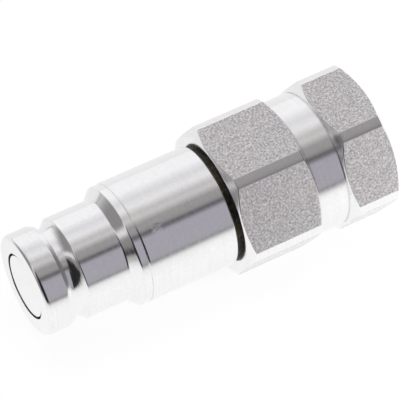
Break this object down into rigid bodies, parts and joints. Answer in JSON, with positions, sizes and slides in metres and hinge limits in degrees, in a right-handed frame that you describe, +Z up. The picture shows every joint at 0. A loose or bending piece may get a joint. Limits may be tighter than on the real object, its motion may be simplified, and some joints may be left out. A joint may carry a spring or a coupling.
{
  "type": "flat face coupling nipple",
  "caption": "Stainless flat face hydraulic coupling nipple: turned nose with locking groove, barrel, two hexagons, threaded rear port and a sprung flush valve.",
  "frame": {"origin": "centre of the flat mating face at the nose", "axes": "+X along the axis towards the rear port, +Z up and square to a pair of hexagon flats"},
  "size_m": [0.0881, 0.0379, 0.034],
  "materials": {
    "body_steel": "bright turned stainless steel, hexagon flats as drawn",
    "valve_steel": "fine turned stainless steel",
    "spring_steel": "drawn stainless spring wire",
    "seal_rubber": "smooth black nitrile rubber",
    "backup_plastic": "white fluoropolymer"
  },
  "bodies": {
    "housing": {"plug_body": "body_steel", "rear_adapter": "body_steel", "valve_guide": "valve_steel", "valve_spring": "spring_steel", "body_o_ring": "seal_rubber", "body_backup_ring": "backup_plastic"},
    "valve": {"flat_face_valve": "valve_steel", "valve_seal": "seal_rubber", "valve_backup_ring": "backup_plastic"}
  },
  "joints": [
    {"name": "valve_slide", "type": "slide", "parent": "housing", "child": "valve", "axis": [1, 0, 0], "range_m": [0, 0.011], "stiffness_N_per_m": 3100, "springref_m": -0.01, "deforming": ["valve_spring"]}
  ]
}
